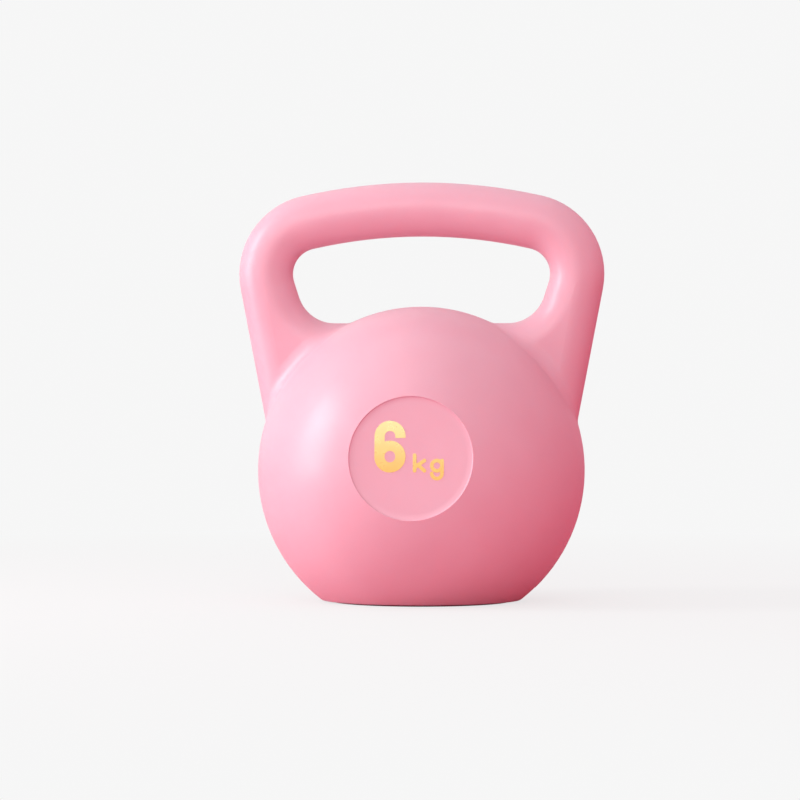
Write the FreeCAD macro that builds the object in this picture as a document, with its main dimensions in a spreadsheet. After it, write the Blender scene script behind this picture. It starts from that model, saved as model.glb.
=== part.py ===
"""Kettlebell with a blow-moulded shell, a cast core and a flat base.

The origin is on the floor under the middle of the bell.  +Z is up, X runs along
the grip and the weight mark faces -Y.  All sizes are in millimetres and degrees.
"""

import FreeCAD, Part
import math
import os
import Sketcher

from FreeCAD import Vector

# --------------------------------------------------------------------------
# Driving dimensions, one spreadsheet cell each
# --------------------------------------------------------------------------

SIZES = {
    # Overall form
    "overall_width": 185.8,
    "overall_height": 212.8,
    "ball_radius": 83.0,
    "base_radius": 50.6,
    "base_edge_radius": 2.0,
    # Handle: a round bar that flares inwards where it meets the ball
    "grip_radius": 13.6,
    "crown_radius": 264.2,
    "corner_radius": 26.9,
    "horn_foot_inset": 8.7,
    "saddle_height": 141.2,
    "bend_radius": 32.9,
    "bend_spread": 44.2,
    "horn_blend_radius": 8.0,
    # Round label recess, in front and behind
    "recess_radius": 30.3,
    "recess_depth": 1.0,
    "recess_rise": 8.4,
    "recess_edge_radius": 0.3,
    # Shell wall and what it holds
    "wall": 2.8,
    "cure_gap": 0.2,
    "rod_radius": 4.0,
    # Filling hole and its plug
    "fill_hole_radius": 14.0,
    "plug_clearance": 0.1,
    "plug_flange_width": 4.0,
    "plug_flange_thickness": 1.2,
    "plug_depth": 9.0,
    "plug_wall": 1.8,
    "plug_bead": 0.6,
    "core_clearance": 1.0,
    # Base pad
    "pad_radius": 45.5,
    "pad_thickness": 2.0,
    "pad_stands_proud": 0.8,
    "pad_edge_radius": 0.5,
    "pad_clearance": 0.3,
    "adhesive_thickness": 0.2,
    # Hot-stamped weight mark, measured from the middle of the recess
    "foil_thickness": 0.12,
    "mark_drop": 6.9,
    "numeral_offset": 10.2,
    "numeral_width": 15.2,
    "numeral_stroke": 5.0,
    "numeral_bowl_straight": 0.4,
    "numeral_opening": 1.8,
    "numeral_terminal": 0.8,
    "unit_offset": 1.9,
    "unit_ascender": 9.4,
    "unit_bowl_radius": 3.4,
    "unit_stroke": 1.8,
    "unit_reach": 4.8,
    "unit_letter_gap": 1.8,
    "unit_descent": 0.4,
}

doc = FreeCAD.newDocument("Kettlebell")
sheet = doc.addObject("Spreadsheet::Sheet", "Sizes")
for row, (alias, number) in enumerate(SIZES.items(), start=1):
    sheet.set(f"A{row}", alias)
    sheet.set(f"B{row}", str(number))
    sheet.setAlias(f"B{row}", alias)
doc.recompute()


# --------------------------------------------------------------------------
# A length is a number together with the spreadsheet expression that gives it
# --------------------------------------------------------------------------

class Length:
    """A value that can be drawn with now and bound to the sheet afterwards."""

    def __init__(self, value, formula):
        self.value = value
        self.formula = formula

    def __add__(self, other):
        other = as_length(other)
        return Length(self.value + other.value, f"({self.formula} + {other.formula})")

    def __sub__(self, other):
        other = as_length(other)
        return Length(self.value - other.value, f"({self.formula} - {other.formula})")

    def __mul__(self, other):
        other = as_length(other)
        return Length(self.value * other.value, f"({self.formula} * {other.formula})")

    def __truediv__(self, other):
        other = as_length(other)
        return Length(self.value / other.value, f"({self.formula} / {other.formula})")


def as_length(number):
    """Let plain numbers take part in the formulas."""
    return number if isinstance(number, Length) else Length(number, repr(number))


def size(alias):
    """One driving dimension."""
    return Length(SIZES[alias], f"{sheet.Name}.{alias}")


def leg(hypotenuse, other_leg):
    """The remaining leg of a right-angled triangle."""
    value = math.sqrt(hypotenuse.value ** 2 - other_leg.value ** 2)
    return Length(value, f"sqrt(({hypotenuse.formula})^2 - ({other_leg.formula})^2)")


ZERO = Length(0.0, "0")

# Heights and places that follow from the driving dimensions
BASE = size("pad_stands_proud")
BALL_CENTRE = BASE + leg(size("ball_radius"), size("base_radius"))
CROWN_TOP = size("overall_height") - size("grip_radius")
CROWN_CENTRE = CROWN_TOP - size("crown_radius")
CORNER_X = size("overall_width") / 2 - size("grip_radius") - size("corner_radius")
CORNER_Z = CROWN_CENTRE + leg(size("crown_radius") - size("corner_radius"), CORNER_X)
BEND_X = size("bend_spread")
BEND_Z = size("saddle_height") - size("grip_radius") + size("bend_radius")
FOOT_X = size("ball_radius") - size("grip_radius") - size("horn_foot_inset")

PAD_SEAT = size("pad_thickness") + size("adhesive_thickness")
CAVITY_FLOOR = PAD_SEAT + size("wall")
RECESS_FLOOR = leg(size("ball_radius"), size("recess_radius")) - size("recess_depth")
RECESS_TILT = Length(
    math.degrees(math.asin(SIZES["recess_rise"] / SIZES["ball_radius"])),
    f"asin({sheet.Name}.recess_rise / {sheet.Name}.ball_radius)",
)

# How closely an edge is told apart by its place
TOLERANCE = 0.01
MARGIN = 1.0


# --------------------------------------------------------------------------
# Sketch helpers
# --------------------------------------------------------------------------

START, END, CENTRE = 1, 2, 3
ORIGIN = (-1, 1)
X_AXIS = -1
Y_AXIS = -2


def origin_plane(body, role):
    """One of the body's own origin planes."""
    return next(item for item in body.Origin.OriginFeatures if item.Role == role)


def new_sketch(body, role, name):
    """An empty sketch on one of the body's origin planes."""
    sketch = body.newObject("Sketcher::SketchObject", f"{body.Name}_{name}")
    sketch.AttachmentSupport = [(origin_plane(body, role), "")]
    sketch.MapMode = "FlatFace"
    return sketch


def relate(sketch, kind, *references):
    """A geometric constraint without a size."""
    sketch.addConstraint(Sketcher.Constraint(kind, *references))


def drive(sketch, kind, references, length):
    """A dimension bound to the sheet."""
    index = sketch.addConstraint(Sketcher.Constraint(kind, *references, length.value))
    sketch.setExpression(f"Constraints[{index}]", length.formula)


def place(sketch, geometry, point, x, y):
    """Fix a point of the sketch at (x, y)."""
    drive(sketch, "DistanceX", (*ORIGIN, geometry, point), x)
    drive(sketch, "DistanceY", (*ORIGIN, geometry, point), y)


def chain(sketch, indices, closed=False):
    """Join the end of each piece of geometry to the start of the next."""
    following = indices[1:] + (indices[:1] if closed else [])
    for one, other in zip(indices, following):
        relate(sketch, "Coincident", one, END, other, START)


def line(sketch, start, end):
    """A straight segment between two (x, y) pairs."""
    return sketch.addGeometry(Part.LineSegment(Vector(*start, 0), Vector(*end, 0)), False)


def arc(sketch, centre, radius, start_angle, end_angle):
    """An arc that runs anticlockwise between two angles in radians."""
    circle = Part.Circle(Vector(*centre, 0), Vector(0, 0, 1), radius)
    return sketch.addGeometry(Part.ArcOfCircle(circle, start_angle, end_angle), False)


def polar(centre, radius, angle):
    """The (x, y) pair at an angle on a circle."""
    return (centre[0] + radius * math.cos(angle), centre[1] + radius * math.sin(angle))


def circle_sketch(body, role, name, height, radius):
    """One circle centred on the sketch's upright axis."""
    sketch = new_sketch(body, role, name)
    circle = Part.Circle(Vector(0, height.value, 0), Vector(0, 0, 1), radius.value)
    sketch.addGeometry(circle, False)
    relate(sketch, "PointOnObject", 0, CENTRE, Y_AXIS)
    if height is ZERO:
        relate(sketch, "PointOnObject", 0, CENTRE, X_AXIS)
    else:
        drive(sketch, "DistanceY", (*ORIGIN, 0, CENTRE), height)
    drive(sketch, "Radius", (0,), radius)
    return sketch


def polyline_sketch(body, role, name, corners):
    """A closed outline of straight lines through (x, y) pairs of lengths."""
    sketch = new_sketch(body, role, name)
    pairs = list(zip(corners, corners[1:] + corners[:1]))
    edges = [line(sketch, (a.value, b.value), (c.value, d.value)) for (a, b), (c, d) in pairs]
    chain(sketch, edges, closed=True)
    for edge, (x, y) in zip(edges, corners):
        if x is ZERO:
            relate(sketch, "PointOnObject", edge, START, Y_AXIS)
            drive(sketch, "DistanceY", (*ORIGIN, edge, START), y)
        else:
            place(sketch, edge, START, x, y)
    return sketch


# --------------------------------------------------------------------------
# Feature helpers
# --------------------------------------------------------------------------

def new_body(name):
    """A PartDesign body whose label is the sub-part's name."""
    body = doc.addObject("PartDesign::Body", name)
    body.Label = name
    return body


def turn(body, sketch, name, axis="V_Axis", kind="Revolution"):
    """Turn a profile all the way round an axis of its sketch."""
    feature = body.newObject(f"PartDesign::{kind}", f"{body.Name}_{name}")
    feature.Profile = sketch
    feature.ReferenceAxis = (sketch, [axis])
    feature.Angle = 360
    return feature


def pad(body, sketch, name, length, both_ways=False):
    """Thicken a sketch."""
    feature = body.newObject("PartDesign::Pad", f"{body.Name}_{name}")
    feature.Profile = sketch
    feature.Midplane = both_ways
    feature.setExpression("Length", length.formula)
    return feature


def pocket(body, sketch, name, length, reverse=False):
    """Cut a sketch into the body and make sure that it takes material away."""
    doc.recompute()
    before = body.Shape.Volume
    feature = body.newObject("PartDesign::Pocket", f"{body.Name}_{name}")
    feature.Profile = sketch
    feature.Reversed = reverse
    feature.setExpression("Length", length.formula)
    doc.recompute()
    if body.Shape.Volume >= before:
        raise RuntimeError(f"{feature.Name} cuts nothing")
    return feature


def mirror(body, features, role, name):
    """Repeat features on the other side of one of the origin planes."""
    feature = body.newObject("PartDesign::Mirrored", f"{body.Name}_{name}")
    feature.Originals = features
    feature.MirrorPlane = (origin_plane(body, role), [""])
    body.Tip = feature
    return feature


def edges_between(shape, first, second, wanted):
    """Names of the edges that part two kinds of surface and pass a test."""
    names = []
    for number, edge in enumerate(shape.Edges, start=1):
        if edge.Degenerated:
            continue
        faces = shape.ancestorsOfType(edge, Part.Face)
        kinds = [face.Surface.__class__.__name__ for face in faces]
        parted = any(kind in first for kind in kinds) and any(kind in second for kind in kinds)
        if parted and wanted(edge):
            names.append(f"Edge{number}")
    return names


def fillet(body, name, radius, first, second, wanted):
    """Round the edges of the body that part two kinds of surface."""
    doc.recompute()
    base = body.Tip
    edges = edges_between(base.Shape, first, second, wanted)
    if not edges:
        raise RuntimeError(f"{body.Name}: no edges to round for {name}")
    feature = body.newObject("PartDesign::Fillet", f"{body.Name}_{name}")
    feature.Base = (base, edges)
    feature.setExpression("Radius", radius.formula)
    return feature


def cut(name, base, tool):
    """What is left of one shape when another is taken from it."""
    feature = doc.addObject("Part::Cut", name)
    feature.Base = base
    feature.Tool = tool
    feature.Label = name
    return feature


# --------------------------------------------------------------------------
# Centrelines of the handle
# --------------------------------------------------------------------------

def handle_layout():
    """Tangent angles of the handle's centrelines, to start the sketches from."""
    corner = (CORNER_X.value, CORNER_Z.value)
    bend = (BEND_X.value, BEND_Z.value)
    foot = (FOOT_X.value, BALL_CENTRE.value)
    corner_radius = SIZES["corner_radius"]
    bend_radius = SIZES["bend_radius"]
    crown_angle = math.atan2(corner[1] - CROWN_CENTRE.value, corner[0])
    to_bend = math.atan2(bend[1] - corner[1], bend[0] - corner[0])
    bend_distance = math.hypot(bend[0] - corner[0], bend[1] - corner[1])
    inner_angle = to_bend + math.acos((corner_radius - bend_radius) / bend_distance)
    to_foot = math.atan2(foot[1] - corner[1], foot[0] - corner[0])
    foot_distance = math.hypot(foot[0] - corner[0], foot[1] - corner[1])
    outer_angle = to_foot + math.acos(corner_radius / foot_distance)
    return corner, bend, foot, crown_angle, inner_angle, outer_angle


def crown_and_corner(sketch, corner_end):
    """Half of the grip's centreline, from the middle round the corner to an angle."""
    corner, bend, foot, crown_angle, inner_angle, outer_angle = handle_layout()
    crown = (0.0, CROWN_CENTRE.value)
    top = arc(sketch, crown, SIZES["crown_radius"], crown_angle, math.pi / 2)
    shoulder = arc(sketch, corner, SIZES["corner_radius"], corner_end, crown_angle)
    relate(sketch, "Tangent", top, START, shoulder, END)
    relate(sketch, "PointOnObject", top, END, Y_AXIS)
    relate(sketch, "PointOnObject", top, CENTRE, Y_AXIS)
    drive(sketch, "Radius", (top,), size("crown_radius"))
    drive(sketch, "DistanceY", (*ORIGIN, top, CENTRE), CROWN_CENTRE)
    drive(sketch, "Radius", (shoulder,), size("corner_radius"))
    drive(sketch, "DistanceX", (*ORIGIN, shoulder, CENTRE), CORNER_X)
    return shoulder


def ring_path(body):
    """Half of the closed ring: crown, corner, inner line, bend and hidden bar."""
    corner, bend, foot, crown_angle, inner_angle, outer_angle = handle_layout()
    bend_radius = SIZES["bend_radius"]
    bar_height = bend[1] - bend_radius
    sketch = new_sketch(body, "XZ_Plane", "RingPath")
    shoulder = crown_and_corner(sketch, inner_angle)
    side = line(sketch, polar(corner, SIZES["corner_radius"], inner_angle),
                polar(bend, bend_radius, inner_angle))
    turn_in = arc(sketch, bend, bend_radius, -math.pi / 2, inner_angle)
    bar = line(sketch, (bend[0], bar_height), (0.0, bar_height))
    relate(sketch, "Tangent", shoulder, START, side, START)
    relate(sketch, "Tangent", side, END, turn_in, END)
    relate(sketch, "Tangent", turn_in, START, bar, START)
    relate(sketch, "PointOnObject", bar, END, Y_AXIS)
    relate(sketch, "Horizontal", bar)
    drive(sketch, "Radius", (turn_in,), size("bend_radius"))
    place(sketch, turn_in, CENTRE, BEND_X, BEND_Z)
    return sketch


def rod_path(body):
    """Half of the rod's centreline: crown, corner and a straight leg into the ball."""
    corner, bend, foot, crown_angle, inner_angle, outer_angle = handle_layout()
    sketch = new_sketch(body, "XZ_Plane", "RodPath")
    shoulder = crown_and_corner(sketch, outer_angle)
    leg_line = line(sketch, polar(corner, SIZES["corner_radius"], outer_angle), foot)
    relate(sketch, "Tangent", shoulder, START, leg_line, START)
    place(sketch, leg_line, END, FOOT_X, BALL_CENTRE)
    return sketch


def sweep(body, name, path, section):
    """A round section carried along every edge of a path."""
    feature = body.newObject("PartDesign::AdditivePipe", f"{body.Name}_{name}")
    feature.Profile = section
    edges = [item for item in path.Geometry if not item.TypeId.endswith("Point")]
    feature.Spine = (path, [f"Edge{number}" for number in range(1, len(edges) + 1)])
    return feature


def horn_profile(body, radius):
    """The outer leg's half section, from the corner down into the ball."""
    corner, bend, foot, crown_angle, inner_angle, outer_angle = handle_layout()
    corner_radius = SIZES["corner_radius"]
    top = polar(corner, corner_radius, outer_angle)
    sketch = new_sketch(body, "XZ_Plane", "HornProfile")
    axis = line(sketch, top, foot)
    foot_edge = line(sketch, foot, polar(foot, radius.value, outer_angle))
    side = line(sketch, polar(foot, radius.value, outer_angle),
                polar(top, radius.value, outer_angle))
    top_edge = line(sketch, polar(top, radius.value, outer_angle), top)
    chain(sketch, [axis, foot_edge, side, top_edge], closed=True)
    corner_arc = arc(sketch, corner, corner_radius, outer_angle, math.pi / 2)
    sketch.setConstruction(corner_arc, True)
    relate(sketch, "Tangent", corner_arc, START, axis, START)
    relate(sketch, "Perpendicular", axis, foot_edge)
    relate(sketch, "Parallel", axis, side)
    relate(sketch, "Perpendicular", axis, top_edge)
    relate(sketch, "Vertical", corner_arc, CENTRE, corner_arc, END)
    drive(sketch, "Radius", (corner_arc,), size("corner_radius"))
    place(sketch, corner_arc, CENTRE, CORNER_X, CORNER_Z)
    place(sketch, axis, END, FOOT_X, BALL_CENTRE)
    drive(sketch, "Distance", (foot_edge,), radius)
    return sketch


def web_outline(body):
    """The flat between the outer leg's centreline and the ring's."""
    corner, bend, foot, crown_angle, inner_angle, outer_angle = handle_layout()
    corner_radius = SIZES["corner_radius"]
    bend_radius = SIZES["bend_radius"]
    sketch = new_sketch(body, "XZ_Plane", "WebOutline")
    shoulder = arc(sketch, corner, corner_radius, inner_angle, outer_angle)
    side = line(sketch, polar(corner, corner_radius, inner_angle),
                polar(bend, bend_radius, inner_angle))
    turn_in = arc(sketch, bend, bend_radius, -math.pi / 2, inner_angle)
    inner = line(sketch, (bend[0], bend[1] - bend_radius), (bend[0], foot[1]))
    floor = line(sketch, (bend[0], foot[1]), foot)
    outer = line(sketch, foot, polar(corner, corner_radius, outer_angle))
    relate(sketch, "Tangent", shoulder, START, side, START)
    relate(sketch, "Tangent", side, END, turn_in, END)
    relate(sketch, "Coincident", turn_in, START, inner, START)
    chain(sketch, [inner, floor, outer])
    relate(sketch, "Tangent", outer, END, shoulder, END)
    relate(sketch, "Vertical", turn_in, CENTRE, turn_in, START)
    relate(sketch, "Vertical", inner)
    relate(sketch, "Horizontal", floor)
    drive(sketch, "Radius", (shoulder,), size("corner_radius"))
    place(sketch, shoulder, CENTRE, CORNER_X, CORNER_Z)
    drive(sketch, "Radius", (turn_in,), size("bend_radius"))
    place(sketch, turn_in, CENTRE, BEND_X, BEND_Z)
    place(sketch, outer, START, FOOT_X, BALL_CENTRE)
    return sketch


# --------------------------------------------------------------------------
# The bell's form, drawn at any depth below its outer surface
# --------------------------------------------------------------------------

def add_ball(body, radius, floor):
    """A ball with a flat base."""
    floor_radius = leg(radius, BALL_CENTRE - floor)
    rim_angle = -math.asin((BALL_CENTRE.value - floor.value) / radius.value)
    top = (0.0, BALL_CENTRE.value + radius.value)
    rim = (floor_radius.value, floor.value)
    sketch = new_sketch(body, "YZ_Plane", "BallProfile")
    axis = line(sketch, top, (0.0, floor.value))
    base = line(sketch, (0.0, floor.value), rim)
    side = arc(sketch, (0.0, BALL_CENTRE.value), radius.value, rim_angle, math.pi / 2)
    chain(sketch, [axis, base, side], closed=True)
    relate(sketch, "PointOnObject", axis, START, Y_AXIS)
    relate(sketch, "PointOnObject", axis, END, Y_AXIS)
    relate(sketch, "PointOnObject", side, CENTRE, Y_AXIS)
    relate(sketch, "Horizontal", base)
    drive(sketch, "DistanceY", (*ORIGIN, base, START), floor)
    drive(sketch, "DistanceY", (*ORIGIN, side, CENTRE), BALL_CENTRE)
    drive(sketch, "Radius", (side,), radius)
    turn(body, sketch, "Ball")


def add_handle(body, radius):
    """The ring, the outer legs and the flat webs between them."""
    section = circle_sketch(body, "YZ_Plane", "RingSection", CROWN_TOP, radius)
    ring = sweep(body, "Ring", ring_path(body), section)
    web = pad(body, web_outline(body), "Web", radius * 2, both_ways=True)
    horn = turn(body, horn_profile(body, radius), "Horn", axis="Edge1")
    mirror(body, [ring, horn, web], "YZ_Plane", "BothSides")


def tilt_to_recess(sketch, distance):
    """Lay a front sketch square to the recess, at a distance from the ball's middle."""
    tilt = math.radians(RECESS_TILT.value)
    leaning_back = FreeCAD.Rotation(Vector(-1, 0, 0), RECESS_TILT.value)
    centre = Vector(0, BALL_CENTRE.value + distance.value * math.sin(tilt),
                    distance.value * math.cos(tilt))
    sketch.AttachmentOffset = FreeCAD.Placement(centre, leaning_back)
    rise = f"{BALL_CENTRE.formula} + {distance.formula} * sin({RECESS_TILT.formula})"
    sketch.setExpression("AttachmentOffset.Base.y", rise)
    sketch.setExpression("AttachmentOffset.Base.z",
                         f"{distance.formula} * cos({RECESS_TILT.formula})")
    sketch.setExpression("AttachmentOffset.Rotation.Angle", RECESS_TILT.formula)


def add_recesses(body, inset):
    """The round label recess in front and its twin behind."""
    radius = size("recess_radius") + inset
    sketch = circle_sketch(body, "XZ_Plane", "RecessOutline", ZERO, radius)
    tilt_to_recess(sketch, RECESS_FLOOR - inset)
    recess = pocket(body, sketch, "Recess", size("recess_radius"), reverse=True)
    mirror(body, [recess], "XZ_Plane", "BothRecesses")


def bell_form(name, inset, floor):
    """The whole outer form of the bell, moved inwards by the inset."""
    body = new_body(name)
    add_handle(body, size("grip_radius") - inset)
    add_ball(body, size("ball_radius") - inset, floor)
    ball = ("Sphere",)
    handle = ("Cylinder", "Toroid", "Plane")
    fillet(body, "HornBlend", size("horn_blend_radius") + inset, ball, handle,
           lambda edge: edge.BoundBox.ZMax > BALL_CENTRE.value)
    add_recesses(body, inset)
    return body


# --------------------------------------------------------------------------
# Shell
# --------------------------------------------------------------------------

def level(wanted):
    """A test for edges that lie flat at one height."""
    def test(edge):
        box = edge.BoundBox
        return box.ZLength < TOLERANCE and abs(box.ZMin - wanted.value) < TOLERANCE
    return test


def recess_edge(edge):
    """A test for the edges of the two label recesses, above the base's own edges."""
    box = edge.BoundBox
    half_width = max(box.XMax, -box.XMin)
    within_recess = half_width < SIZES["recess_radius"] + MARGIN
    return within_recess and box.ZMin > PAD_SEAT.value + MARGIN


def hole_in_base(body, name, radius, height):
    """A round hole cut upwards from the floor to a height."""
    outline = circle_sketch(body, "XY_Plane", f"{name}Outline", ZERO, radius)
    pocket(body, outline, name, height, reverse=True)


def make_shell():
    """The one-piece skin: ball, horns and grip, with the filling hole in its base."""
    outer = bell_form("outer_form", ZERO, BASE)
    fillet(outer, "BaseEdge", size("base_edge_radius"), ("Sphere",), ("Plane",), level(BASE))
    fillet(outer, "RecessEdges", size("recess_edge_radius"), ("Cylinder",), ("Plane", "Sphere"),
           recess_edge)
    flange_radius = size("fill_hole_radius") + size("plug_flange_width")
    hole_in_base(outer, "PadSeat", size("pad_radius") + size("pad_clearance"), PAD_SEAT)
    hole_in_base(outer, "FlangeSeat", flange_radius + size("plug_clearance"),
                 PAD_SEAT + size("plug_flange_thickness"))
    hole_in_base(outer, "FillHole", size("fill_hole_radius"), CAVITY_FLOOR + size("wall"))
    cavity = bell_form("cavity_form", size("wall"), CAVITY_FLOOR)
    return cut("shell", outer, cavity)


# --------------------------------------------------------------------------
# What the shell holds
# --------------------------------------------------------------------------

def make_rod():
    """A bent rod through the grip and both horns, with its ends deep in the ball."""
    body = new_body("handle_rod")
    section = circle_sketch(body, "YZ_Plane", "RodSection", CROWN_TOP, size("rod_radius"))
    half = sweep(body, "Half", rod_path(body), section)
    mirror(body, [half], "YZ_Plane", "BothHalves")
    return body


def make_core(rod):
    """The cast filling, shrunk a little from the shell, with room for the plug."""
    gap = size("cure_gap")
    form = bell_form("core_form", size("wall") + gap, CAVITY_FLOOR + gap)
    clearance = size("core_clearance")
    hole_in_base(form, "PlugRoom", size("fill_hole_radius") + clearance,
                 PAD_SEAT + size("plug_depth") + clearance)
    return cut("ballast_fill", form, rod)


def make_plug():
    """A cup-shaped push-in plug with a flange and a snap bead above the wall."""
    body = new_body("fill_plug")
    barrel = size("fill_hole_radius") - size("plug_clearance")
    bore = barrel - size("plug_wall")
    flange = size("fill_hole_radius") + size("plug_flange_width")
    bead = size("plug_bead")
    bead_start = CAVITY_FLOOR + size("plug_clearance")
    top = PAD_SEAT + size("plug_depth")
    corners = [
        (bore, PAD_SEAT),
        (flange, PAD_SEAT),
        (flange, PAD_SEAT + size("plug_flange_thickness")),
        (barrel, PAD_SEAT + size("plug_flange_thickness")),
        (barrel, bead_start),
        (barrel + bead, bead_start + bead),
        (barrel, bead_start + bead * 3),
        (barrel, top),
        (ZERO, top),
        (ZERO, top - size("plug_wall")),
        (bore, top - size("plug_wall")),
    ]
    turn(body, polyline_sketch(body, "XZ_Plane", "PlugProfile", corners), "Plug")
    return body


def disc(body, radius, bottom, thickness):
    """A flat round piece at a height."""
    outline = circle_sketch(body, "XY_Plane", "Outline", ZERO, radius)
    outline.setExpression("AttachmentOffset.Base.z", bottom.formula)
    pad(body, outline, "Disc", thickness)


def make_pad():
    """The thin rubber pad that the bell stands on."""
    body = new_body("base_pad")
    disc(body, size("pad_radius"), ZERO, size("pad_thickness"))
    fillet(body, "PadEdge", size("pad_edge_radius"), ("Cylinder",), ("Plane",), level(ZERO))
    return body


def make_adhesive():
    """The film between the pad and its seat."""
    body = new_body("pad_adhesive")
    disc(body, size("pad_radius") - size("pad_clearance"), size("pad_thickness"),
         size("adhesive_thickness"))
    return body


# --------------------------------------------------------------------------
# Weight mark: foil patches on the floor of the front recess
# --------------------------------------------------------------------------

def mark_sketch(body, name):
    """An empty sketch that lies on the floor of the front recess."""
    sketch = new_sketch(body, "XZ_Plane", name)
    tilt_to_recess(sketch, RECESS_FLOOR)
    return sketch


def stroke(body, name, start, end):
    """A straight pen stroke with round ends."""
    sketch = mark_sketch(body, name)
    radius = size("unit_stroke") / 2
    first = (start[0].value, start[1].value)
    last = (end[0].value, end[1].value)
    heading = math.atan2(last[1] - first[1], last[0] - first[0])
    quarter = math.pi / 2
    tail = arc(sketch, first, radius.value, heading + quarter, heading + 3 * quarter)
    head = arc(sketch, last, radius.value, heading - quarter, heading + quarter)
    right = line(sketch, polar(first, radius.value, heading - quarter),
                 polar(last, radius.value, heading - quarter))
    left = line(sketch, polar(last, radius.value, heading + quarter),
                polar(first, radius.value, heading + quarter))
    relate(sketch, "Tangent", tail, END, right, START)
    relate(sketch, "Tangent", right, END, head, START)
    relate(sketch, "Tangent", head, END, left, START)
    relate(sketch, "Tangent", left, END, tail, START)
    for cap, (x, y) in ((tail, start), (head, end)):
        place(sketch, cap, CENTRE, x, y)
        drive(sketch, "Radius", (cap,), radius)
    pad(body, sketch, f"{name}Foil", size("foil_thickness"))


def bowl(body, name, centre, radius):
    """A round pen stroke."""
    sketch = mark_sketch(body, name)
    for ring_radius in (radius, radius - size("unit_stroke")):
        circle = Part.Circle(Vector(centre[0].value, centre[1].value, 0),
                             Vector(0, 0, 1), ring_radius.value)
        ring = sketch.addGeometry(circle, False)
        place(sketch, ring, CENTRE, *centre)
        drive(sketch, "Radius", (ring,), ring_radius)
    pad(body, sketch, f"{name}Foil", size("foil_thickness"))


def hook(body, name, centre, radius):
    """The lower half of a round pen stroke, with a round tip on its left."""
    sketch = mark_sketch(body, name)
    middle = (centre[0].value, centre[1].value)
    half_pen = size("unit_stroke") / 2
    inner_radius = radius - size("unit_stroke")
    outer = arc(sketch, middle, radius.value, math.pi, 2 * math.pi)
    inner = arc(sketch, middle, inner_radius.value, math.pi, 2 * math.pi)
    tip_centre = (middle[0] - radius.value + half_pen.value, middle[1])
    tip = arc(sketch, tip_centre, half_pen.value, 0, math.pi)
    top = line(sketch, polar(middle, radius.value, 0), polar(middle, inner_radius.value, 0))
    relate(sketch, "Coincident", outer, END, top, START)
    relate(sketch, "Coincident", top, END, inner, END)
    relate(sketch, "Coincident", inner, START, tip, START)
    relate(sketch, "Coincident", tip, END, outer, START)
    relate(sketch, "Coincident", outer, CENTRE, inner, CENTRE)
    relate(sketch, "Horizontal", top)
    relate(sketch, "Horizontal", outer, CENTRE, outer, END)
    relate(sketch, "Horizontal", tip, CENTRE, tip, END)
    relate(sketch, "Horizontal", outer, CENTRE, tip, CENTRE)
    place(sketch, outer, CENTRE, *centre)
    drive(sketch, "Radius", (outer,), radius)
    drive(sketch, "Radius", (inner,), inner_radius)
    pad(body, sketch, f"{name}Foil", size("foil_thickness"))


def make_numeral():
    """A plain round-cornered figure six."""
    body = new_body("weight_numeral")
    sketch = mark_sketch(body, "Outline")
    baseline = ZERO - size("mark_drop")
    middle = ZERO - size("numeral_offset")
    half = size("numeral_width") / 2
    eye = half - size("numeral_stroke")
    low = baseline + half
    high = low + size("numeral_bowl_straight")
    shoulder = high + leg(half, eye)
    terminal = shoulder + size("numeral_opening")
    crown = terminal + size("numeral_terminal")
    x, a, b = middle.value, half.value, eye.value
    bottom = arc(sketch, (x, low.value), a, math.pi, 2 * math.pi)
    right = line(sketch, (x + a, low.value), (x + a, high.value))
    bowl_top = arc(sketch, (x, high.value), a, 0, math.acos(-b / a))
    spine = line(sketch, (x - b, shoulder.value), (x - b, crown.value))
    inner_top = arc(sketch, (x, crown.value), b, 0, math.pi)
    tip_inner = line(sketch, (x + b, crown.value), (x + b, terminal.value))
    tip = line(sketch, (x + b, terminal.value), (x + a, terminal.value))
    tip_outer = line(sketch, (x + a, terminal.value), (x + a, crown.value))
    outer_top = arc(sketch, (x, crown.value), a, 0, math.pi)
    left = line(sketch, (x - a, crown.value), (x - a, low.value))
    relate(sketch, "Tangent", bottom, END, right, START)
    relate(sketch, "Tangent", right, END, bowl_top, START)
    relate(sketch, "Coincident", bowl_top, END, spine, START)
    relate(sketch, "Tangent", spine, END, inner_top, END)
    relate(sketch, "Tangent", inner_top, START, tip_inner, START)
    chain(sketch, [tip_inner, tip, tip_outer])
    relate(sketch, "Tangent", tip_outer, END, outer_top, START)
    relate(sketch, "Tangent", outer_top, END, left, START)
    relate(sketch, "Tangent", left, END, bottom, START)
    relate(sketch, "Coincident", inner_top, CENTRE, outer_top, CENTRE)
    relate(sketch, "Vertical", right)
    relate(sketch, "Vertical", spine)
    relate(sketch, "Horizontal", tip)
    place(sketch, bottom, CENTRE, middle, low)
    drive(sketch, "Radius", (bottom,), half)
    place(sketch, bowl_top, CENTRE, middle, high)
    place(sketch, outer_top, CENTRE, middle, crown)
    drive(sketch, "Radius", (inner_top,), eye)
    drive(sketch, "DistanceY", (*ORIGIN, tip, START), terminal)
    eye_bottom = arc(sketch, (x, low.value), b, math.pi, 2 * math.pi)
    eye_right = line(sketch, (x + b, low.value), (x + b, high.value))
    eye_top = arc(sketch, (x, high.value), b, 0, math.pi)
    eye_left = line(sketch, (x - b, high.value), (x - b, low.value))
    relate(sketch, "Tangent", eye_bottom, END, eye_right, START)
    relate(sketch, "Tangent", eye_right, END, eye_top, START)
    relate(sketch, "Tangent", eye_top, END, eye_left, START)
    relate(sketch, "Tangent", eye_left, END, eye_bottom, START)
    place(sketch, eye_bottom, CENTRE, middle, low)
    place(sketch, eye_top, CENTRE, middle, high)
    drive(sketch, "Radius", (eye_bottom,), eye)
    drive(sketch, "Radius", (eye_top,), eye)
    pad(body, sketch, "Foil", size("foil_thickness"))
    return body


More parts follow.
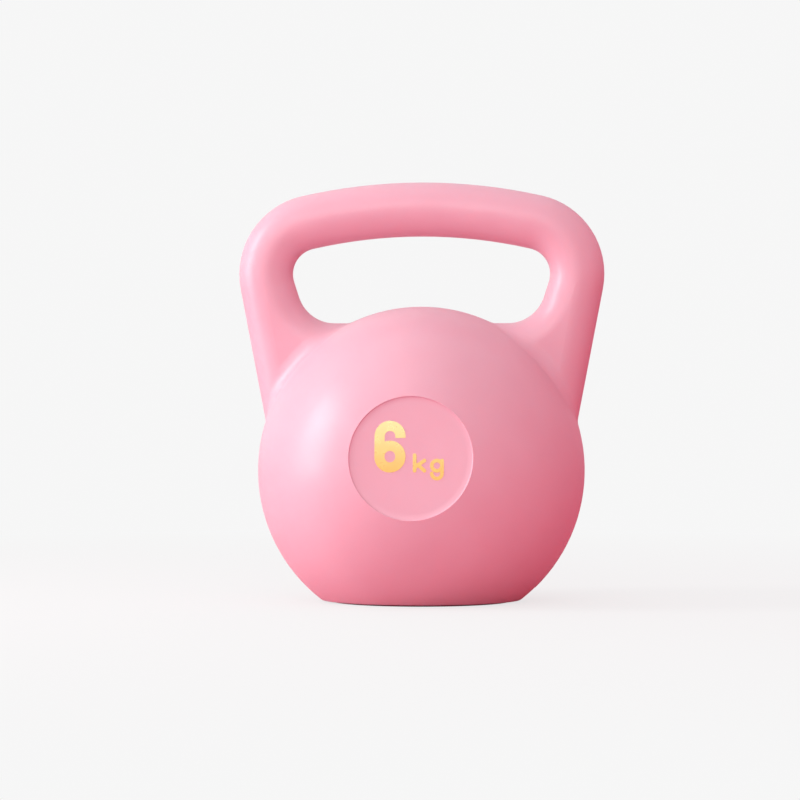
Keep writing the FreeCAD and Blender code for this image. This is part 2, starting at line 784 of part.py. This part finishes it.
def make_unit():
    """The unit of mass in plain small letters of even stroke."""
    baseline = ZERO - size("mark_drop")
    half_pen = size("unit_stroke") / 2
    bowl_radius = size("unit_bowl_radius")
    foot = baseline + half_pen
    x_height = baseline + bowl_radius * 2 - half_pen
    stem = size("unit_offset")
    tip = stem + size("unit_reach")
    waist = baseline + bowl_radius
    knee = stem + size("unit_reach") / 3
    knee_height = waist + half_pen / 2
    k_letter = new_body("letter_k")
    stroke(k_letter, "Stem", (stem, foot), (stem, baseline + size("unit_ascender") - half_pen))
    stroke(k_letter, "Arm", (stem, waist - half_pen), (tip, x_height))
    stroke(k_letter, "Leg", (knee, knee_height), (tip, foot))
    bowl_x = tip + half_pen + size("unit_letter_gap") + bowl_radius
    g_stem = bowl_x + bowl_radius - half_pen
    tail = baseline - size("unit_descent")
    g_letter = new_body("letter_g")
    bowl(g_letter, "Bowl", (bowl_x, waist), bowl_radius)
    stroke(g_letter, "Stem", (g_stem, x_height), (g_stem, tail))
    hook(g_letter, "Hook", (bowl_x, tail), bowl_radius)
    letters = doc.addObject("Part::Compound", "weight_unit")
    letters.Links = [k_letter, g_letter]
    letters.Label = "weight_unit"
    return letters


# --------------------------------------------------------------------------
# Build, check and write
# --------------------------------------------------------------------------

def check(parts):
    """Stop if any object failed or any sub-part has no sound shape."""
    doc.recompute()
    for item in doc.Objects:
        if "Invalid" in item.State or "Error" in item.State:
            raise RuntimeError(f"{item.Name} did not build: {item.State}")
    for part in parts:
        if part.Shape.isNull() or not part.Shape.isValid() or not part.Shape.Solids:
            raise RuntimeError(f"{part.Label} has no sound shape")


def write(parts):
    """One STEP file for each sub-part, named after it."""
    os.makedirs("parts", exist_ok=True)
    for part in parts:
        part.Shape.exportStep(f"parts/{part.Label}.step")
        print(f"{part.Label}: {len(part.Shape.Solids)} solid(s), "
              f"{part.Shape.Volume / 1000:.1f} cm3")


rod = make_rod()
sub_parts = [
    make_shell(),
    make_core(rod),
    rod,
    make_plug(),
    make_adhesive(),
    make_pad(),
    make_numeral(),
    make_unit(),
]
check(sub_parts)
write(sub_parts)
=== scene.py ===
# %% [markdown]
# # A soft vinyl kettlebell in Blender
# The real thing is one hollow moulding of pink vinyl, filled with cement through a hole
# under its base, with a steel rod cast into the handle.  A CAD program has already settled
# every size.  This notebook gives the parts their finishes, models the small things that a
# moulding tool leaves behind, and puts the bell on a table under studio light.
#
# The box around them is kept, because nothing added later may make the object noticeably
# bigger.

# %% Load the parts
import math

import bpy
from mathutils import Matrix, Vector


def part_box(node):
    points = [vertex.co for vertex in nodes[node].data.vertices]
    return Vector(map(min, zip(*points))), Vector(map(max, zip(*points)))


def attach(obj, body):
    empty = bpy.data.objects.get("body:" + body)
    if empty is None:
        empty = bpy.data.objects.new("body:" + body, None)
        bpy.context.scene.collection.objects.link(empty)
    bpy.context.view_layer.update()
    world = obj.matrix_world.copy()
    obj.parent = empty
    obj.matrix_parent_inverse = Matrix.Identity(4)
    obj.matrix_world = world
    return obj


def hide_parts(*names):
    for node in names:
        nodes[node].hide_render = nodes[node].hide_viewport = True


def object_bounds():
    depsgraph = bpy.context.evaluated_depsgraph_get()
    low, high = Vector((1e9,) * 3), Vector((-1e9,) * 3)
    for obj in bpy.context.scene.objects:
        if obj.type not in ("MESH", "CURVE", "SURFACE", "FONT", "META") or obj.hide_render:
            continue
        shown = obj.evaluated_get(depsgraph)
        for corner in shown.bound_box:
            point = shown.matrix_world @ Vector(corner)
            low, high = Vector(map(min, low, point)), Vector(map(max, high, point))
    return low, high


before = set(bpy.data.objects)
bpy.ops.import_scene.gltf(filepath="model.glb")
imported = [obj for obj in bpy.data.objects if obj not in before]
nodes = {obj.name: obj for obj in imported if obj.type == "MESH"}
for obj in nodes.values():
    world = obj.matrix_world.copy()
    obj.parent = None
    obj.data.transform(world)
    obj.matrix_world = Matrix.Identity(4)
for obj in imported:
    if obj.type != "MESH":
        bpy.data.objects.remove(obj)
cad_low, cad_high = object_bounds()
MM = 0.001
print("parts:", ", ".join(sorted(nodes)))
print("size in mm:", [round(side / MM, 1) for side in cad_high - cad_low])

# %% [markdown]
# ## The camera
# The camera comes first, so that every later choice can be judged through it.  A long lens
# from almost two metres away keeps the ball round and the handle's flare as it is.  The
# camera stands level with the upper part of the ball and a few degrees round to the right.

# %% Camera
CAMERA_DISTANCE = 1.8
CAMERA_HEIGHT = 0.115
CAMERA_TURN = math.radians(4.2)
AIM_HEIGHT = 0.1023
AIM_LEFT = 0.0108
VIEW_WIDTH = 0.4072
SENSOR_WIDTH = 36.0

towards_camera = Vector((math.sin(CAMERA_TURN), -math.cos(CAMERA_TURN), 0.0))
camera_right = Vector((math.cos(CAMERA_TURN), math.sin(CAMERA_TURN), 0.0))
aim = Vector((0.0, 0.0, AIM_HEIGHT)) - camera_right * AIM_LEFT
stand = Vector((0.0, 0.0, CAMERA_HEIGHT)) - camera_right * AIM_LEFT
stand += towards_camera * CAMERA_DISTANCE

bpy.ops.object.camera_add(location=stand)
camera = bpy.context.object
camera.name = "camera"
camera.rotation_euler = (aim - stand).to_track_quat("-Z", "Y").to_euler()
camera.data.sensor_width = SENSOR_WIDTH
camera.data.lens = SENSOR_WIDTH * CAMERA_DISTANCE / VIEW_WIDTH
bpy.context.scene.camera = camera
print("lens in mm:", round(camera.data.lens))

# %% [markdown]
# ## Working by hand in code
# Every modelling operator acts on whatever is selected, just as it does under the mouse.
# So each step begins by letting go of everything, picking up one piece, and choosing its
# faces or points by where they are.  These helpers do that and nothing more.

# %% Selecting
MERGE = 0.001 * MM


def hold(piece):
    """Leave edit mode, then select one object and nothing else."""
    if bpy.context.mode != "OBJECT":
        bpy.ops.object.mode_set(mode="OBJECT")
    bpy.ops.object.select_all(action="DESELECT")
    piece.select_set(True)
    bpy.context.view_layer.objects.active = piece


def edit(piece, mode="VERT"):
    """Open a piece in edit mode with nothing selected."""
    hold(piece)
    bpy.ops.object.mode_set(mode="EDIT")
    bpy.ops.mesh.select_mode(type=mode)
    bpy.ops.mesh.select_all(action="DESELECT")


def pick(parts, wanted):
    """In edit mode, select only the points or faces whose place passes a test."""
    bpy.ops.mesh.select_all(action="DESELECT")
    bpy.ops.object.mode_set(mode="OBJECT")
    for part in parts:
        place = part.center if hasattr(part, "center") else part.co
        part.select = bool(wanted(place))
    bpy.ops.object.mode_set(mode="EDIT")


def settle(piece):
    """Leave edit mode and put the piece's place into its mesh."""
    hold(piece)
    bpy.ops.object.transform_apply(location=True, rotation=True, scale=True)


def close_up(piece):
    """Merge points that meet and turn every face outwards."""
    edit(piece)
    bpy.ops.mesh.select_all(action="SELECT")
    bpy.ops.mesh.remove_doubles(threshold=MERGE)
    bpy.ops.mesh.normals_make_consistent(inside=False)
    settle(piece)


def adopt(piece, material, smooth_below=40.0):
    """Smooth a new piece, give it its finish and tie it to the bell."""
    hold(piece)
    bpy.ops.object.shade_smooth_by_angle(angle=math.radians(smooth_below))
    piece.data.materials.clear()
    piece.data.materials.append(material)
    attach(piece, "root")
    print(piece.name, "has", len(piece.data.polygons), "faces")


# %% [markdown]
# ## Writing materials as short recipes
# A finish is a graph of nodes that reads the place on the object in metres, so its grain
# keeps its true scale.  These helpers add one idea each: a new material, a noise, a change
# of range, a blend of two colours, a slight relief.

# %% Node helpers
NOISE_RANGE = (0.3, 0.7)  # the part of a noise texture's values that is stretched


def new_material(name, roughness):
    """A node material, its Principled shader and the place on the object."""
    material = bpy.data.materials.new(name)
    material.use_nodes = True
    tree = material.node_tree
    shader = tree.nodes["Principled BSDF"]
    shader.inputs["Roughness"].default_value = roughness
    place = tree.nodes.new("ShaderNodeTexCoord").outputs["Object"]
    return material, tree, shader, place


def noise(tree, place, size, detail=2.0, stretch=(1.0, 1.0, 1.0)):
    """Soft random blotches of about one size in millimetres."""
    mapping = tree.nodes.new("ShaderNodeMapping")
    mapping.inputs["Scale"].default_value = stretch
    tree.links.new(place, mapping.inputs["Vector"])
    texture = tree.nodes.new("ShaderNodeTexNoise")
    texture.inputs["Scale"].default_value = 1.0 / (size * MM)
    texture.inputs["Detail"].default_value = detail
    tree.links.new(mapping.outputs["Vector"], texture.inputs["Vector"])
    return texture.outputs["Fac"]


def remap(tree, value, old, new):
    """Stretch a value from one range to another."""
    node = tree.nodes.new("ShaderNodeMapRange")
    tree.links.new(value, node.inputs["Value"])
    limits = ("From Min", "From Max", "To Min", "To Max")
    for name, number in zip(limits, (*old, *new)):
        node.inputs[name].default_value = number
    return node.outputs["Result"]


def blend(tree, value, stops):
    """Colours along a value from 0 to 1, each stop a place and a colour."""
    ramp = tree.nodes.new("ShaderNodeValToRGB")
    elements = ramp.color_ramp.elements
    while len(elements) < len(stops):
        elements.new(0.5)
    for element, (stop, colour) in zip(elements, stops):
        element.position = stop
        element.color = (*colour, 1.0)
    tree.links.new(value, ramp.inputs["Fac"])
    return ramp.outputs["Color"]


def relief(tree, height, depth, under=None):
    """Raise the surface by a pattern, on top of another relief if there is one."""
    node = tree.nodes.new("ShaderNodeBump")
    node.inputs["Distance"].default_value = depth * MM
    tree.links.new(height, node.inputs["Height"])
    if under is not None:
        tree.links.new(under, node.inputs["Normal"])
    return node.outputs["Normal"]


def dress(name, material):
    """Give a CAD part a finish without touching its shape."""
    mesh = nodes[name].data
    mesh.materials.clear()
    mesh.materials.append(material)
    print(name, "is finished in", material.name)


# %% [markdown]
# ## The vinyl skin
# Soft vinyl is coloured all the way through.  Light enters a little, wanders and comes back
# redder, so creases glow instead of going grey.  A touch of subsurface scattering does
# that.  The tool was polished but never perfect, so its skin carries a slow waviness of a
# centimetre or two and a fine satin grain.  The colour drifts a little too, because the
# paste was not stirred evenly.  Slivers of vinyl too thin for light to wander in get the
# same recipe without the glow.

# %% Vinyl
VINYL_STOPS = [(0.30, (0.745, 0.385, 0.470)), (0.70, (0.785, 0.440, 0.525))]
VINYL_GLOSS = (0.32, 0.42)
COLOUR_SIZE, WAVE_SIZE, GLOSS_SIZE, GRAIN_SIZE = 70.0, 24.0, 14.0, 0.5  # all in mm
WAVE_DEPTH, GRAIN_DEPTH = 0.12, 0.006  # in mm
WANDER = (1.0, 0.3, 0.25)  # red light wanders furthest
WANDER_LENGTH = 2.0 * MM
THICK = 0.25
THIN = 0.0


def satin_vinyl(name, glow):
    """Milky pink plastic with a satin face; glow is how much light wanders inside it."""
    material, tree, shader, place = new_material(name, VINYL_GLOSS[0])
    colour = blend(tree, noise(tree, place, COLOUR_SIZE, detail=4.0), VINYL_STOPS)
    tree.links.new(colour, shader.inputs["Base Color"])
    gloss = remap(tree, noise(tree, place, GLOSS_SIZE, detail=5.0), NOISE_RANGE, VINYL_GLOSS)
    tree.links.new(gloss, shader.inputs["Roughness"])
    waves = relief(tree, noise(tree, place, WAVE_SIZE), WAVE_DEPTH)
    grain = relief(tree, noise(tree, place, GRAIN_SIZE), GRAIN_DEPTH, under=waves)
    tree.links.new(grain, shader.inputs["Normal"])
    shader.inputs["Subsurface Weight"].default_value = glow
    shader.inputs["Subsurface Radius"].default_value = WANDER
    shader.inputs["Subsurface Scale"].default_value = WANDER_LENGTH
    return material


dress("shell", satin_vinyl("satin_vinyl", THICK))
thin_vinyl = satin_vinyl("thin_vinyl", THIN)

# %% [markdown]
# ## The soft edge of the label recess
# The weight mark sits on a round flat pressed a millimetre into the ball in front.  Behind
# is another such flat, left plain.
# A moulded recess has no sharp inner corner: the floor sweeps up into the wall.  CAD left
# that corner square, so a thin ring of the same vinyl fills it.  Its section is the corner
# that a quarter of a squashed circle leaves over, and spinning it once round makes the ring.
#
# The tilt of the recess is measured, not typed: a ray sent at the CAD shell from in front
# reports where the floor is and which way it faces.

# %% Recess sizes
# The ball and its recesses, as the CAD part has them
BALL_RADIUS = 83.0 * MM
BALL_CENTRE = Vector((0.0, 0.0, 66.59 * MM))
RECESS_RADIUS = 30.3 * MM
SWEEP_WIDTH = 3.0 * MM
SWEEP_HEIGHT = 0.5 * MM
SUNK = 0.05 * MM
ARC_POINTS = 48
RING_STEPS = 160


def recess_floor(side):
    """The middle and the outward direction of a recess; side is -1 in front, 1 behind."""
    start = Vector((0.0, side * 2 * BALL_RADIUS, BALL_CENTRE.z))
    hit, spot, facing, _ = nodes["shell"].ray_cast(start, Vector((0.0, -side, 0.0)))
    reach = (spot - BALL_CENTRE).dot(facing)
    print("recess tilt:", round(math.degrees(math.asin(facing.z)), 2), "found:", hit)
    return BALL_CENTRE + facing * reach, facing


# %% Spin the ring
def lay(piece, middle, facing):
    """Lay a piece that was modelled flat on z = 0 onto a spot that faces some way."""
    piece.location = middle
    piece.rotation_euler = facing.to_track_quat("Z", "Y").to_euler()
    settle(piece)


def draw_on(step):
    """Pull a new point out of the chosen one."""
    bpy.ops.mesh.extrude_region_move(TRANSFORM_OT_translate={"value": step})


def recess_sweep(name, side):
    """A ring that rounds the inner corner of one label recess."""
    inner_radius = RECESS_RADIUS - SWEEP_WIDTH
    bpy.ops.mesh.primitive_circle_add(vertices=ARC_POINTS, radius=1.0, rotation=(math.pi / 2, 0, 0))
    ring = bpy.context.object
    ring.name = name
    ring.scale = (SWEEP_WIDTH, SWEEP_HEIGHT, 1.0)
    ring.location = (inner_radius, 0.0, SWEEP_HEIGHT)
    settle(ring)
    edit(ring)
    tiny = SUNK / 10
    pick(ring.data.vertices, lambda p: p.x < inner_radius - tiny or p.z > SWEEP_HEIGHT + tiny)
    bpy.ops.mesh.delete(type="VERT")
    pick(ring.data.vertices, lambda p: p.z < tiny)
    draw_on((0.0, 0.0, -SUNK))
    draw_on((SWEEP_WIDTH + SUNK, 0.0, 0.0))
    draw_on((0.0, 0.0, SWEEP_HEIGHT + SUNK))
    pick(ring.data.vertices, lambda p: p.z > SWEEP_HEIGHT - tiny)
    bpy.ops.mesh.edge_face_add()
    bpy.ops.mesh.select_all(action="SELECT")
    bpy.ops.mesh.spin(steps=RING_STEPS, angle=2 * math.pi, center=(0, 0, 0), axis=(0, 0, 1))
    close_up(ring)
    lay(ring, *recess_floor(side))
    adopt(ring, thin_vinyl, smooth_below=60.0)


recess_sweep("front_recess_sweep", -1)
recess_sweep("back_recess_sweep", 1)

# %% [markdown]
# ## The parting line
# The mould opens front from back, so where its halves met a fine bead of vinyl runs right
# round the bell's outline and round the inside of the handle.  Its course is exactly the
# cut of the shell by the plane y = 0.  A copy of the CAD mesh is bisected there and
# everything but the cut is thrown away, which leaves a wire.  The shell is hollow, so its
# cavity leaves a wire too, and the points that lie close to the core are deleted with it.
# The outer wire becomes a curve, and the curve's bevel gives it thickness.  Half of that
# bead lies inside the skin.

# %% Bisect and bevel
BEAD_RADIUS = 0.2 * MM
BEAD_END = 6.0 * MM
CORE_REACH = 1.0 * MM


def parting_line():
    """A fine bead along the outline where the mould halves met."""
    bead = bpy.data.objects.new("parting_line", nodes["shell"].data.copy())
    bpy.context.collection.objects.link(bead)
    core = nodes["ballast_fill"]
    edit(bead)
    bpy.ops.mesh.select_all(action="SELECT")
    bpy.ops.mesh.remove_doubles(threshold=MERGE)
    bpy.ops.mesh.bisect(plane_co=(0, 0, 0), plane_no=(0, 1, 0), clear_inner=True, clear_outer=True)
    pick(bead.data.vertices,
         lambda p: p.z < BEAD_END or core.closest_point_on_mesh(p, distance=CORE_REACH)[0])
    bpy.ops.mesh.delete(type="VERT")
    settle(bead)
    bpy.ops.object.convert(target="CURVE")
    bead = bpy.context.object
    bead.data.bevel_depth = BEAD_RADIUS
    bead.data.bevel_resolution = 1
    bead.data.use_fill_caps = True
    print("lengths of wire:", len(bead.data.splines))
    bpy.ops.object.convert(target="MESH")
    bead = bpy.context.object
    bead.name = "parting_line"
    close_up(bead)
    adopt(bead, thin_vinyl, smooth_below=80.0)


parting_line()

# %% [markdown]
# ## Gold foil
# The figure and its unit are hot-stamped: a die presses gold foil onto the recess floor.
# The foil is a metal film under lacquer, so its shader is only about a third metal, and it
# shades from pale gold at the top to amber at the foot.  A ramp along the height gives that,
# and a shallow noise stretched sideways stands for the film's creases.

# %% Foil
FOIL_STOPS = [(0.05, (0.82, 0.50, 0.12)), (0.55, (0.82, 0.63, 0.22)), (0.95, (0.80, 0.70, 0.29))]
FOIL_GLOSS = (0.24, 0.38)
CREASE_SIZE, CREASE_DEPTH = 2.5, 0.003  # in mm
METAL_SHARE = 0.3
LACQUER = 0.3


def gold_foil():
    """Lacquered gold that deepens downwards."""
    low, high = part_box("weight_numeral")
    material, tree, shader, place = new_material("gold_foil", 0.3)
    split = tree.nodes.new("ShaderNodeSeparateXYZ")
    tree.links.new(place, split.inputs[0])
    height = remap(tree, split.outputs["Z"], (low.z, high.z), (0.0, 1.0))
    tree.links.new(blend(tree, height, FOIL_STOPS), shader.inputs["Base Color"])
    creases = noise(tree, place, CREASE_SIZE, stretch=(1.0, 1.0, 3.0))
    tree.links.new(relief(tree, creases, CREASE_DEPTH), shader.inputs["Normal"])
    gloss = remap(tree, noise(tree, place, 3.0), NOISE_RANGE, FOIL_GLOSS)
    tree.links.new(gloss, shader.inputs["Roughness"])
    shader.inputs["Metallic"].default_value = METAL_SHARE
    shader.inputs["Coat Weight"].default_value = LACQUER
    return material


foil = gold_foil()
dress("weight_numeral", foil)
dress("weight_unit", foil)

# %% [markdown]
# ## The rubber foot
# Under the bell sits a thin rubber pad, wine-coloured and almost hidden: from the side only
# a dark line of it shows.  Its underside has rings that grip the floor.  The CAD pad is a
# plain disc, so a new pad takes its place: a circle drawn down to its thickness, whose lower
# face is inset again and again, up for a groove and down for a rib.

# %% Model the foot
RIB_WIDTH = 3.0 * MM
GROOVE_WIDTH = 2.2 * MM
GROOVE_DEPTH = 0.6 * MM
GROOVE_SLOPE = 0.3 * MM
GROOVES = 6
FOOT_EDGE = 0.4 * MM
FOOT_SIDES = 144


def rubber_foot():
    """A disc with ring-shaped ribs below."""
    low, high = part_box("base_pad")
    radius = (high.x - low.x) / 2
    bpy.ops.mesh.primitive_circle_add(vertices=FOOT_SIDES, radius=radius, fill_type="NGON",
                                      location=(0.0, 0.0, high.z))
    foot = bpy.context.object
    foot.name = "rubber_foot"
    settle(foot)
    edit(foot, "FACE")
    bpy.ops.mesh.select_all(action="SELECT")
    draw_on((0.0, 0.0, low.z - high.z))
    bpy.ops.mesh.bevel(offset=FOOT_EDGE, segments=3, affect="EDGES")
    close_up(foot)
    edit(foot, "FACE")
    bottom = low.z + GROOVE_DEPTH / 10
    pick(foot.data.polygons, lambda p: p.z < bottom and p.xy.length < radius / 2)
    for _ in range(GROOVES):
        bpy.ops.mesh.inset(thickness=RIB_WIDTH, depth=0.0)
        bpy.ops.mesh.inset(thickness=GROOVE_SLOPE, depth=-GROOVE_DEPTH)
        bpy.ops.mesh.inset(thickness=GROOVE_WIDTH, depth=0.0)
        bpy.ops.mesh.inset(thickness=GROOVE_SLOPE, depth=GROOVE_DEPTH)
    settle(foot)
    return foot


# %% Rubber
def foot_rubber():
    """Dull wine-red rubber with a pebbled face and worn, dusty blotches."""
    material, tree, shader, place = new_material("foot_rubber", 0.75)
    stops = [(0.35, (0.120, 0.018, 0.030)), (0.70, (0.190, 0.040, 0.055))]
    tree.links.new(blend(tree, noise(tree, place, 12.0, detail=6.0), stops),
                   shader.inputs["Base Color"])
    wear = remap(tree, noise(tree, place, 5.0, detail=4.0), NOISE_RANGE, (0.6, 0.85))
    tree.links.new(wear, shader.inputs["Roughness"])
    tree.links.new(relief(tree, noise(tree, place, 0.7), 0.05), shader.inputs["Normal"])
    return material


foot = rubber_foot()
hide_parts("base_pad")
adopt(foot, foot_rubber(), smooth_below=30.0)

# %% [markdown]
# ## What the skin hides
# The filling, the rod, the plug and the glue are never seen on a whole bell, but the model
# can be taken apart, so each gets a true finish: sandy cement with iron grains, drawn steel
# with lines along the grip, plain moulded plastic, and a film of dried glue.

# %% Cement
MIX_A, MIX_B, MIX_RESULT = 6, 7, 2  # the Mix node's colour sockets, which share their names


def cast_cement():
    """Grey cement with dark iron sand and small pits."""
    material, tree, shader, place = new_material("cast_cement", 0.9)
    cloud = noise(tree, place, 20.0, detail=6.0)
    stops = [(0.3, (0.20, 0.19, 0.18)), (0.7, (0.36, 0.34, 0.32))]
    cement = blend(tree, cloud, stops)
    iron = [(0.58, (1.0, 1.0, 1.0)), (0.64, (0.25, 0.23, 0.22))]
    speck = blend(tree, noise(tree, place, 1.2), iron)
    mix = tree.nodes.new("ShaderNodeMix")
    mix.data_type = "RGBA"
    mix.blend_type = "MULTIPLY"
    mix.inputs["Factor"].default_value = 1.0
    tree.links.new(cement, mix.inputs[MIX_A])
    tree.links.new(speck, mix.inputs[MIX_B])
    tree.links.new(mix.outputs[MIX_RESULT], shader.inputs["Base Color"])
    tree.links.new(relief(tree, noise(tree, place, 2.0, detail=8.0), 0.4), shader.inputs["Normal"])
    return material


dress("ballast_fill", cast_cement())


# %% Steel
def drawn_steel():
    """Bare steel with lines drawn along X, the way of the grip."""
    material, tree, shader, place = new_material("drawn_steel", 0.4)
    shader.inputs["Metallic"].default_value = 1.0
    lines = noise(tree, place, 0.4, stretch=(0.03, 1.0, 1.0))
    stops = [(0.3, (0.42, 0.42, 0.43)), (0.7, (0.60, 0.60, 0.61))]
    tree.links.new(blend(tree, lines, stops), shader.inputs["Base Color"])
    tree.links.new(remap(tree, lines, NOISE_RANGE, (0.30, 0.48)), shader.inputs["Roughness"])
    tree.links.new(relief(tree, lines, 0.01), shader.inputs["Normal"])
    return material


dress("handle_rod", drawn_steel())


# %% Plastic and glue
def plug_plastic():
    """Dark moulded plastic with a spark-eroded face."""
    material, tree, shader, place = new_material("plug_plastic", 0.5)
    stops = [(0.3, (0.05, 0.05, 0.055)), (0.7, (0.08, 0.08, 0.085))]
    tree.links.new(blend(tree, noise(tree, place, 6.0), stops), shader.inputs["Base Color"])
    tree.links.new(relief(tree, noise(tree, place, 0.3), 0.02), shader.inputs["Normal"])
    return material


def dried_glue():
    """A thin amber film with bubbles in it."""
    material, tree, shader, place = new_material("dried_glue", 0.35)
    stops = [(0.35, (0.55, 0.45, 0.28)), (0.7, (0.75, 0.66, 0.48))]
    tree.links.new(blend(tree, noise(tree, place, 4.0, detail=4.0), stops),
                   shader.inputs["Base Color"])
    tree.links.new(relief(tree, noise(tree, place, 1.5), 0.05), shader.inputs["Normal"])
    return material


dress("fill_plug", plug_plastic())
dress("pad_adhesive", dried_glue())

# %% [markdown]
# ## The studio
# The bell stands on a pale table that runs off into a white room.  A tall softbox on its
# left draws the white streaks down the left side of the ball and the legs, and a broad,
# softer box in front fills the face.  The room is white high on the left and turns to rose
# low on the right.  The table throws back rose too, deeper on that side.  A photographer
# gets this with pink card, which keeps the shaded side rich where grey light would make it
# dull.  Here the room and the table play the card, and still have to look white.  A Light
# Path node does both: it shows near white to the camera's own rays and rose to the rest.
#
# A far table always differs a little from the room behind it, which shows as a horizon.
# Here the table takes shadows only near the bell.  Further out it fades to the very white
# of the room, as a studio's paper sweep does when it curves up behind the object.

# %% Table
TABLE_RADIUS = 20.0
TABLE_SIDES = 96
TABLE_GLOW = 0.74
TABLE_WHITE = 0.16
TABLE_FADE = (0.25, 0.80)
ROOM_LOOKS = 0.925
CARD_EDGE = (-0.10, 0.14)
CARD_STOPS = [(0.0, (0.80, 0.44, 0.50)), (1.0, (0.74, 0.12, 0.20))]


def pale_table():
    """A plain matt table, seen near white, that fades into the room with distance."""
    bpy.ops.mesh.primitive_circle_add(vertices=TABLE_SIDES, radius=TABLE_RADIUS, fill_type="NGON")
    table = bpy.context.object
    table.name = "table"
    material, tree, shader, place = new_material("pale_table", 0.9)
    split = tree.nodes.new("ShaderNodeSeparateXYZ")
    tree.links.new(place, split.inputs[0])
    across = remap(tree, split.outputs["X"], CARD_EDGE, (0.0, 1.0))
    tree.links.new(blend(tree, across, CARD_STOPS), shader.inputs["Base Color"])
    away = tree.nodes.new("ShaderNodeVectorMath")
    away.operation = "LENGTH"
    tree.links.new(place, away.inputs[0])
    far = remap(tree, away.outputs["Value"], TABLE_FADE, (0.0, 1.0))
    lit = tree.nodes.new("ShaderNodeEmission")
    glows = [(0.0, (TABLE_GLOW,) * 3), (1.0, (ROOM_LOOKS,) * 3)]
    tree.links.new(blend(tree, far, glows), lit.inputs["Color"])
    white = tree.nodes.new("ShaderNodeBsdfDiffuse")
    whites = [(0.0, (TABLE_WHITE,) * 3), (1.0, (0.0, 0.0, 0.0))]
    tree.links.new(blend(tree, far, whites), white.inputs["Color"])
    seen = tree.nodes.new("ShaderNodeAddShader")
    tree.links.new(lit.outputs[0], seen.inputs[0])
    tree.links.new(white.outputs[0], seen.inputs[1])
    choose = tree.nodes.new("ShaderNodeMixShader")
    rays = tree.nodes.new("ShaderNodeLightPath")
    tree.links.new(rays.outputs["Is Camera Ray"], choose.inputs["Fac"])
    tree.links.new(shader.outputs[0], choose.inputs[1])
    tree.links.new(seen.outputs[0], choose.inputs[2])
    tree.links.new(choose.outputs[0], tree.nodes["Material Output"].inputs["Surface"])
    table.data.materials.append(material)


pale_table()

# %% [markdown]
# The world is the room.  How far a direction leans towards the bright side picks the colour
# from a ramp, so one ramp holds all of the room's light.  The view transform is set to
# Standard, as the softer default would turn the white room grey and the pink vinyl pale.

# %% White room
BRIGHT_SIDE = Vector((-0.72, -0.34, 0.60)).normalized()
ROOM_LIGHT = 0.91
ROOM_STOPS = [(0.10, (0.85, 0.22, 0.31)), (0.38, (0.92, 0.47, 0.56)),
              (0.62, (0.98, 0.92, 0.94)), (0.95, (1.0, 1.0, 1.0))]


def white_room():
    """A room that looks white and is brighter on one side than on the other."""
    room = bpy.data.worlds.new("white_room")
    bpy.context.scene.world = room
    room.use_nodes = True
    tree = room.node_tree
    looks = tree.nodes["Background"]
    looks.inputs["Color"].default_value = (ROOM_LOOKS, ROOM_LOOKS, ROOM_LOOKS, 1.0)
    direction = tree.nodes.new("ShaderNodeTexCoord").outputs["Generated"]
    facing = tree.nodes.new("ShaderNodeVectorMath")
    facing.operation = "DOT_PRODUCT"
    facing.inputs[1].default_value = BRIGHT_SIDE
    tree.links.new(direction, facing.inputs[0])
    side = remap(tree, facing.outputs["Value"], (-1.0, 1.0), (0.0, 1.0))
    lights = tree.nodes.new("ShaderNodeBackground")
    lights.inputs["Strength"].default_value = ROOM_LIGHT
    tree.links.new(blend(tree, side, ROOM_STOPS), lights.inputs["Color"])
    choose = tree.nodes.new("ShaderNodeMixShader")
    rays = tree.nodes.new("ShaderNodeLightPath")
    tree.links.new(rays.outputs["Is Camera Ray"], choose.inputs["Fac"])
    tree.links.new(lights.outputs[0], choose.inputs[1])
    tree.links.new(looks.outputs[0], choose.inputs[2])
    tree.links.new(choose.outputs[0], tree.nodes["World Output"].inputs["Surface"])
    bpy.context.scene.view_settings.view_transform = "Standard"


white_room()

# %% [markdown]
# Both softboxes are area lamps turned to face the middle of the bell.  The wider the box,
# the softer the edge of its reflection in the satin vinyl.

# %% Softboxes
def softbox(name, way, distance, width, height, power):
    """A rectangular soft lamp that looks at the bell's middle."""
    middle = (cad_low + cad_high) / 2
    place = middle + Vector(way).normalized() * distance
    bpy.ops.object.light_add(type="AREA", location=place)
    lamp = bpy.context.object
    lamp.name = name
    lamp.data.shape = "RECTANGLE"
    lamp.data.size = width
    lamp.data.size_y = height
    lamp.data.energy = power
    lamp.rotation_euler = (middle - place).to_track_quat("-Z", "Y").to_euler()
    print(name, "stands at", [round(part, 2) for part in place])


softbox("tall_softbox", (-0.93, -0.2, 0.3), 1.1, 0.38, 0.8, 8.0)
softbox("front_fill", (-0.15, -0.9, 0.4), 2.4, 1.6, 1.2, 12.5)
